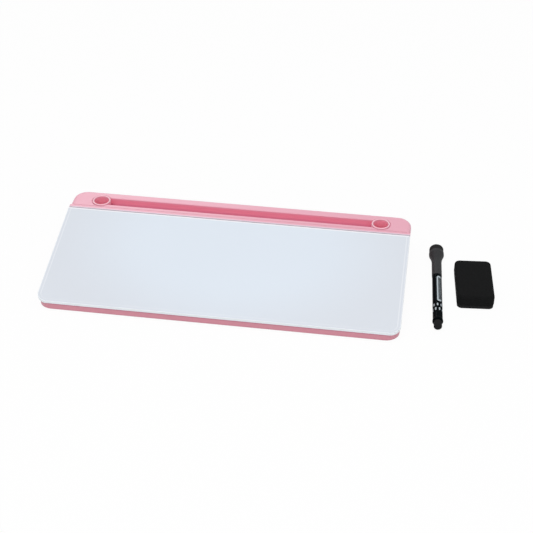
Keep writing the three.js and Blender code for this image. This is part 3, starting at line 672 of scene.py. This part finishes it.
def upright_edges(shape, wanted):
    """Edges that stand up, at the corners that wanted picks."""
    return [edge for edge in shape.edges
            if abs(edge.verts[0].co.z - edge.verts[1].co.z) > UPRIGHT_LEAST and wanted(edge.verts[0].co)]


def level_edges(shape, height):
    """Edges round the outline of the flat face at this height."""
    return [edge for edge in shape.edges
            if all(abs(corner.co.z - height) < MERGE_DISTANCE for corner in edge.verts)
            and edge.calc_face_angle(0) > SHARP_ANGLE]


# The board

def glass_panel():
    """Back-painted glass: a polished face, a ground edge with small arrises, paint underneath."""
    half = GLASS_LENGTH / 2
    shape = block(Vector((-half, 0, 0)), Vector((half, GLASS_DEPTH, GLASS_THICKNESS)))
    front = upright_edges(shape, lambda place: place.y < GLASS_DEPTH / 2)
    edge_bevel(shape, front, GLASS_FRONT_CORNER, CORNER_STEPS)
    rear = upright_edges(shape, lambda place: place.y > GLASS_DEPTH / 2)
    edge_bevel(shape, rear, GLASS_REAR_CORNER, CORNER_STEPS // 2)
    for height in (0, GLASS_THICKNESS):
        edge_bevel(shape, level_edges(shape, height), GLASS_ARRIS, ARRIS_STEPS)
    for face in shape.faces:
        upward = face.normal.z
        face.material_index = 0 if upward > LEVEL_FACE else 2 if upward < -LEVEL_FACE else 1
    shape.transform(slope_place)
    paint = plain_finish("back_paint", (0.76, 0.81, 0.87), (0.80, 0.85, 0.90), roughness=0.55,
                         lump=40 * MM, bump_size=1 * MM, bump_depth=0.01 * MM)
    show("glass_sheet", shape, [painted_face(), ground_edge(), paint], "board",
         ["glass_panel"])


def middle_of_edge(edge):
    return (edge.verts[0].co + edge.verts[1].co) / 2


def outside_top_shell(edge):
    """Picks the shell's edges that show: all but those under the glass and inside."""
    middle = middle_of_edge(edge)
    inset = min(middle.x - shell_low.x, shell_high.x - middle.x, middle.y - shell_low.y,
                shell_high.y - middle.y)
    behind_glass = middle.y > tray_low.y - LIP_REACH and middle.z > tray_low.z + LIP_FOOT
    outer = inset < OUTER_INSET and middle.z > shell_low.z + OUTER_FOOT
    return behind_glass or outer


def outside_tray(edge):
    """Picks the tray's edges that show from above, and those along the seam."""
    middle = middle_of_edge(edge)
    return middle.z > strip_z - TRAY_TOP_EDGES or middle.z < tray_low.z + UNDERSIDE_EDGES


def outside_cover(edge):
    """Picks the cover's edges on the underside."""
    middle = middle_of_edge(edge)
    return middle.z < shell_low.z + UNDERSIDE_EDGES


def housing():
    shell = softened_copy("top_shell", MOULD_EDGE, outside_top_shell)
    show("wedge_shell", shell, [housing_plastic("shell_plastic", wall_shade_and_highlight)], "board",
         ["top_shell"])
    tray = softened_copy("pen_tray", MOULD_EDGE, outside_tray)
    show("rear_tray", tray, [housing_plastic("tray_plastic", groove_painted_shade)], "board",
         ["pen_tray"])
    cover = softened_copy("bottom_cover", COVER_EDGE, outside_cover)
    show("underside_cover", cover, [housing_plastic("cover_plastic")], "board",
         ["bottom_cover"])


def pen_cup(side):
    """A turned cup with a round rim that stands in the tray's moat."""
    outer = CUP_BORE + CUP_WALL
    rim = CUP_BORE + CUP_RIM_WIDTH
    floor = CUP_RIM_HEIGHT - CUP_DEPTH
    foot = floor - CUP_FLOOR
    outline = [(0, foot), (outer, foot), (outer, CUP_RIM_FOOT), (rim, CUP_RIM_FOOT),
               (rim, CUP_RIM_HEIGHT), (CUP_BORE, CUP_RIM_HEIGHT), (CUP_BORE, floor), (0, floor)]
    rounds = {1: CUP_CORNER, 4: CUP_RIM_ROUND, 5: CUP_RIM_ROUND, 6: CUP_CORNER}
    middle = cup_middles[side]
    place = Matrix.Translation((middle.x, middle.y, strip_z))
    cup = turned(outline, rounds, place=place)
    show(f"turned_cup_{side}", cup, [housing_plastic(f"cup_plastic_{side}", cup_shade_and_highlight(side))],
         "board", [f"pen_cup_{side}"])


def rubber_feet():
    rubber = plain_finish("foot_rubber", (0.028, 0.029, 0.031), (0.042, 0.043, 0.045), roughness=0.8,
                          lump=4 * MM, bump_size=0.3 * MM, bump_depth=0.02 * MM, gloss=LOW_GLOSS)
    for number in range(1, 5):
        middle = middle_of(f"foot_{number}")
        outline = [(0, 0), (FOOT_RADIUS, 0), (FOOT_RADIUS, FOOT_HEIGHT), (0, FOOT_HEIGHT)]
        foot = turned(outline, {1: FOOT_EDGE, 2: FOOT_TOP_EDGE},
                      place=Matrix.Translation((middle.x, middle.y, 0)))
        show(f"rubber_foot_{number}", foot, [rubber], "board", [f"foot_{number}"])


def dress_node(node, finish):
    """Gives a CAD node that stays as it is its finish."""
    for slot in frame["nodes"][node].material_slots:
        slot.material = finish


def hidden_board_pieces():
    film = plain_finish("white_film", (0.80, 0.82, 0.84), (0.84, 0.86, 0.88), roughness=0.5,
                        lump=30 * MM, bump_size=1 * MM, bump_depth=0.01 * MM)
    tape = plain_finish("foam_tape", (0.62, 0.62, 0.63), (0.72, 0.72, 0.73), roughness=0.85,
                        lump=3 * MM, bump_size=0.4 * MM, bump_depth=0.05 * MM)
    steel = plain_finish("screw_steel", (0.42, 0.43, 0.45), (0.52, 0.53, 0.55), roughness=0.32,
                         lump=1 * MM, bump_size=0.2 * MM, bump_depth=0.01 * MM, metallic=1.0)
    dress_node("white_backing", film)
    for name in ("front", "middle", "rear", "left", "right"):
        dress_node(f"tape_{name}", tape)
    for number in range(1, 9):
        dress_node(f"screw_{number}", steel)


# The marker and the eraser

marker_axis = marker_place()


def charcoal(name, level, gloss=DARK_GLOSS):
    """Satin charcoal plastic of about this lightness."""
    return plain_finish(name, (0.85 * level, 0.86 * level, 0.90 * level),
                        (1.12 * level, 1.14 * level, 1.19 * level), roughness=0.5, lump=5 * MM,
                        bump_size=0.35 * MM, bump_depth=0.015 * MM, gloss=gloss)


def marker_plug_and_barrel():
    insert = BORE_RADIUS - FIT
    plug = turned([(0, 0), (PLUG_RADIUS, 0), (PLUG_RADIUS, PLUG_LENGTH), (insert, PLUG_LENGTH),
                   (insert, PLUG_LENGTH + PLUG_INSERT), (0, PLUG_LENGTH + PLUG_INSERT)],
                  {1: PLUG_ROUND, 2: FIT, 4: FIT}, place=marker_axis)
    show("end_plug", plug, [charcoal("plug_black", PLUG_TONE)], "marker",
         ["marker_end_plug"])

    black = plain_finish("barrel_black", (0.0016, 0.0028, 0.0040), (0.0032, 0.0048, 0.0060),
                         roughness=0.22, lump=12 * MM, bump_size=2 * MM, bump_depth=0.004 * MM,
                         gloss=BARREL_GLOSS)
    barrel = turned([(BORE_RADIUS, BARREL_START), (BARREL_ROOT_RADIUS, BARREL_START),
                     (BEAD_RADIUS, BARREL_START + BEAD_RISE),
                     (BEAD_RADIUS, BARREL_START + BEAD_LENGTH / 2),
                     (BARREL_RADIUS, BARREL_START + BEAD_LENGTH), (BARREL_MOUTH_RADIUS, BARREL_END),
                     (NECK_RADIUS, BARREL_END), (NECK_RADIUS, NECK_END), (BORE_RADIUS, NECK_END)],
                    {**dict(enumerate(BEAD_ROUNDS, 1)), 5: BARREL_END_ROUND, 7: BARREL_END_ROUND},
                    closed=True, place=marker_axis)
    show("gloss_barrel", barrel, [black], "marker", ["marker_barrel"])


def add_print(shape, along, size, turn, lift):
    """Adds a thin print with round ends to a shape, wrapped round the barrel.

    Along is its middle's place up the barrel, size its width and length, and turn its angle from
    the barrel's top towards +X.
    """
    width, length = size
    flat = bmesh.new()
    bmesh.ops.create_grid(flat, x_segments=1, y_segments=1, size=0.5)
    bmesh.ops.scale(flat, vec=(width, length, 1), verts=flat.verts)
    bmesh.ops.bevel(flat, geom=flat.verts[:], offset=width / 2, offset_type="OFFSET",
                    segments=ROUND_STEPS, profile=0.5, affect="VERTICES", material=-1)
    for step in range(1, PRINT_STEPS):
        across = width * (step / PRINT_STEPS - 0.5)
        everything = flat.verts[:] + flat.edges[:] + flat.faces[:]
        bmesh.ops.bisect_plane(flat, geom=everything, plane_co=(across, 0, 0), plane_no=(1, 0, 0))
    upper = bmesh.ops.extrude_face_region(flat, geom=flat.faces[:])["geom"]
    raised = [part for part in upper if isinstance(part, bmesh.types.BMVert)]
    bmesh.ops.translate(flat, vec=(0, 0, PRINT_THICKNESS), verts=raised)
    for vertex in flat.verts:
        run = along + vertex.co.y
        share = (run - BARREL_START) / (BARREL_END - BARREL_START)
        radius = BARREL_RADIUS + share * (BARREL_MOUTH_RADIUS - BARREL_RADIUS) + lift + vertex.co.z
        angle = turn + vertex.co.x / BARREL_RADIUS
        vertex.co = (radius * math.sin(angle), -radius * math.cos(angle), run)
    bmesh.ops.recalc_face_normals(flat, faces=flat.faces)
    sheet = mesh_of("print", flat)
    shape.from_mesh(sheet)
    bpy.data.meshes.remove(sheet)


def marker_prints():
    """A plain pale label with three thin rules, and two rings of short dashes."""
    ink = {"roughness": 0.4, "lump": 3 * MM, "bump_size": 0.5 * MM, "bump_depth": 0.004 * MM,
           "gloss": LOW_GLOSS}
    pale = plain_finish("label_white", (0.41, 0.47, 0.505), (0.50, 0.56, 0.595), **ink)
    grey = plain_finish("rule_grey", (0.015, 0.018, 0.020), (0.035, 0.040, 0.044), **ink)
    label = bmesh.new()
    add_print(label, LABEL_MIDDLE, LABEL_SIZE, LABEL_TURN, PRINT_LIFT)
    rules = bmesh.new()
    for offset in RULE_OFFSETS:
        turn = LABEL_TURN + offset / BARREL_RADIUS
        add_print(rules, LABEL_MIDDLE, RULE_SIZE, turn, 2 * PRINT_LIFT + PRINT_THICKNESS)
    dashes = bmesh.new()
    for ring, along in enumerate(DASH_RINGS):
        for number in range(DASH_COUNT):
            turn = (number + ring / 2) * math.tau / DASH_COUNT
            add_print(dashes, along, DASH_SIZE, turn, PRINT_LIFT)
    for name, shape, finish in (("barrel_label", label, pale), ("label_rules", rules, grey),
                                ("barrel_dashes", dashes, pale)):
        shape.transform(marker_axis)
        show(name, shape, [finish], "marker")


def marker_writing_end():
    insert = BORE_RADIUS - FIT
    holder = turned([(HOLDER_BORE, HOLDER_START), (insert, HOLDER_START), (insert, NECK_END + FIT),
                     (NECK_RADIUS, NECK_END + FIT), (NECK_RADIUS, HOLDER_SHOULDER),
                     (HOLDER_TIP_RADIUS, HOLDER_END), (HOLDER_BORE, HOLDER_END)],
                    {4: HOLDER_SHOULDER_ROUND, 5: HOLDER_TIP_ROUND}, closed=True, place=marker_axis)
    show("tip_holder", holder, [charcoal("holder_black", HOLDER_TONE)], "marker",
         ["nib_holder"])
    tip = turned([(0, NIB_START), (NIB_RADIUS, NIB_START), (NIB_RADIUS, NIB_END), (0, NIB_END)],
                 {1: FIT, 2: NIB_ROUND}, place=marker_axis)
    ink = fibre_finish("nib_fibre", (0.004, 0.004, 0.006), (0.018, 0.018, 0.022), 0.25 * MM, 0.05 * MM)
    show("writing_nib", tip, [ink], "marker", ["marker_nib"])
    wick = fibre_finish("reservoir_fibre", (0.55, 0.54, 0.50), (0.80, 0.79, 0.75), 0.4 * MM, 0.1 * MM)
    dress_node("ink_reservoir", wick)


def marker_cap_and_felt():
    swell = CAP_RIM_RADIUS - CAP_RIM_STEP - CAP_RADIUS
    shares = [step / FLARE_STEPS for step in range(FLARE_STEPS + 1)]
    flare = [(CAP_RADIUS + swell * share ** 2, CAP_FLARE + share * (CAP_RIM_START - CAP_FLARE))
             for share in shares]
    cap = turned([(CAP_INNER, CAP_MOUTH), (CAP_RADIUS, CAP_MOUTH), *flare,
                  (CAP_RIM_RADIUS, CAP_RIM_START + CAP_RIM_RISE), (CAP_RIM_RADIUS, CAP_END),
                  (FELT_SEAT_RADIUS, CAP_END), (FELT_SEAT_RADIUS, CAP_FLOOR), (0, CAP_FLOOR),
                  (0, CAP_HOLLOW_END), (CAP_INNER, CAP_HOLLOW_END)],
                 {1: CAP_MOUTH_ROUND, -7: CAP_RIM_FOOT_ROUND, -6: CAP_RIM_TOP_ROUND, -5: FIT},
                 closed=True, place=marker_axis)
    show("flared_cap", cap, [charcoal("cap_black", CAP_TONE, LOW_GLOSS)], "cap",
         ["marker_cap"])
    root = FELT_SEAT_RADIUS - FIT
    felt = turned([(0, CAP_FLOOR + FIT), (root, CAP_FLOOR + FIT), (root, CAP_END + FIT),
                   (FELT_RADIUS, CAP_END + FIT), (FELT_RADIUS, FELT_END), (0, FELT_END)],
                  {3: FELT_FOOT_ROUND, 4: FELT_ROUND}, place=marker_axis)
    fuzz = fibre_finish("cap_felt_fibre", (0.009, 0.009, 0.009), (0.035, 0.035, 0.035), 0.35 * MM,
                        0.12 * MM)
    show("cap_eraser_felt", felt, [fuzz], "cap", ["cap_felt"])


def eraser():
    foam_low, foam_high = corners_of("eraser_body")
    pad_low, pad_high = corners_of("eraser_pad")
    middle = middle_of("eraser_body")
    place = Matrix.Translation((middle.x, middle.y, 0)) @ Matrix.Rotation(ERASER_YAW, 4, "Z")

    def layer(low, high, inset, top_round, foot_round):
        """One layer of the eraser between two heights, with round corners and edges."""
        half = Vector((ERASER_WIDTH / 2 - inset, ERASER_LENGTH / 2 - inset, 0))
        shape = block(Vector((-half.x, -half.y, low)), Vector((half.x, half.y, high)))
        edge_bevel(shape, upright_edges(shape, lambda corner: True), ERASER_CORNER - inset,
                   ERASER_CORNER_STEPS)
        edge_bevel(shape, level_edges(shape, high), top_round, ERASER_TOP_STEPS)
        edge_bevel(shape, level_edges(shape, low), foot_round, ERASER_FOOT_STEPS)
        shape.transform(place)
        return shape

    foam = layer(foam_low.z, foam_high.z, 0, ERASER_EDGE, ERASER_FOOT_EDGE)
    body = show("foam_block", foam, [foam_finish()], "eraser", ["eraser_body"])
    sole = layer(pad_low.z, pad_high.z, PAD_INSET, PAD_EDGE, PAD_EDGE)
    fuzz = fibre_finish("sole_felt", (0.008, 0.008, 0.009), (0.026, 0.026, 0.027), 0.5 * MM, 0.2 * MM)
    show("felt_sole", sole, [fuzz], "eraser", ["eraser_pad"])


# Floor, light and camera

# The floor's width, the part of it that glows white, and how strongly the white all round lights
FLOOR_SIZE = 12
FLOOR_GLOW = 0.95
SKY_LIGHT = 0.55

# Each lamp's place, its length and width, and its power in watts
KEY = (Vector((0, -0.8, 2.15)), (2.8, 2.2), 28)
FILL = (Vector((-0.1, -1.7, 1.2)), (1.6, 1.6), 4.5)
GLEAM = (Vector((-0.6, 1.6, 0.92)), (0.5, 0.5), 3)


def pale_floor():
    """A white floor that shows the object's shadow only faintly."""
    finish = new_finish("floor_white")
    lit = finish.node("ShaderNodeBsdfDiffuse", sockets={"Color": (0.9, 0.9, 0.9, 1)})
    white = finish.node("ShaderNodeEmission", sockets={"Color": (1, 1, 1, 1), "Strength": 1.0})
    part = finish.seen_directly() * FLOOR_GLOW
    surface = finish.output(finish.node("ShaderNodeMixShader", sockets={0: part, 1: lit, 2: white}))
    shape = bmesh.new()
    bmesh.ops.create_grid(shape, x_segments=1, y_segments=1, size=FLOOR_SIZE / 2)
    new_object("floor", mesh_of("floor", shape, [surface]))


def soft_box(name, place, size, power, gleam=False):
    """A large lamp. It lights the object and isn't mirrored in it, or with gleam the other way round."""
    light = bpy.data.lights.new(name, "AREA")
    light.shape = "RECTANGLE"
    light.size, light.size_y = size
    light.energy = power
    lamp = new_object(name, light)
    lamp.location = place
    lamp.rotation_euler = (-place).to_track_quat("-Z", "Y").to_euler()
    lamp.visible_glossy = gleam
    lamp.visible_diffuse = not gleam


def daylight():
    """White all round, which lights the object less strongly than it shows."""
    sky = Finish(bpy.data.worlds.new("studio"))
    strength = SKY_LIGHT + (1 - SKY_LIGHT) * sky.seen_directly()
    white = sky.node("ShaderNodeBackground", sockets={"Color": (1, 1, 1, 1), "Strength": strength})
    bpy.context.scene.world = sky.output(white, "ShaderNodeOutputWorld")


def photograph_view():
    lens = bpy.data.cameras.new("camera")
    lens.sensor_width = CAMERA_SENSOR
    lens.lens = CAMERA_LENS
    lens.clip_start = CAMERA_NEAR
    camera = new_object("camera", lens)
    camera.location = CAMERA_PLACE
    camera.rotation_euler = (math.pi / 2 - CAMERA_ELEVATION, 0, CAMERA_AZIMUTH)
    bpy.context.scene.camera = camera


glass_panel()
housing()
for cup_side in ("left", "right"):
    pen_cup(cup_side)
rubber_feet()
hidden_board_pieces()
marker_plug_and_barrel()
marker_prints()
marker_writing_end()
marker_cap_and_felt()
eraser()
pale_floor()
soft_box("key", *KEY)
soft_box("fill", *FILL)
soft_box("gleam", *GLEAM, gleam=True)
daylight()
photograph_view()
bpy.context.scene.view_settings.view_transform = "Standard"
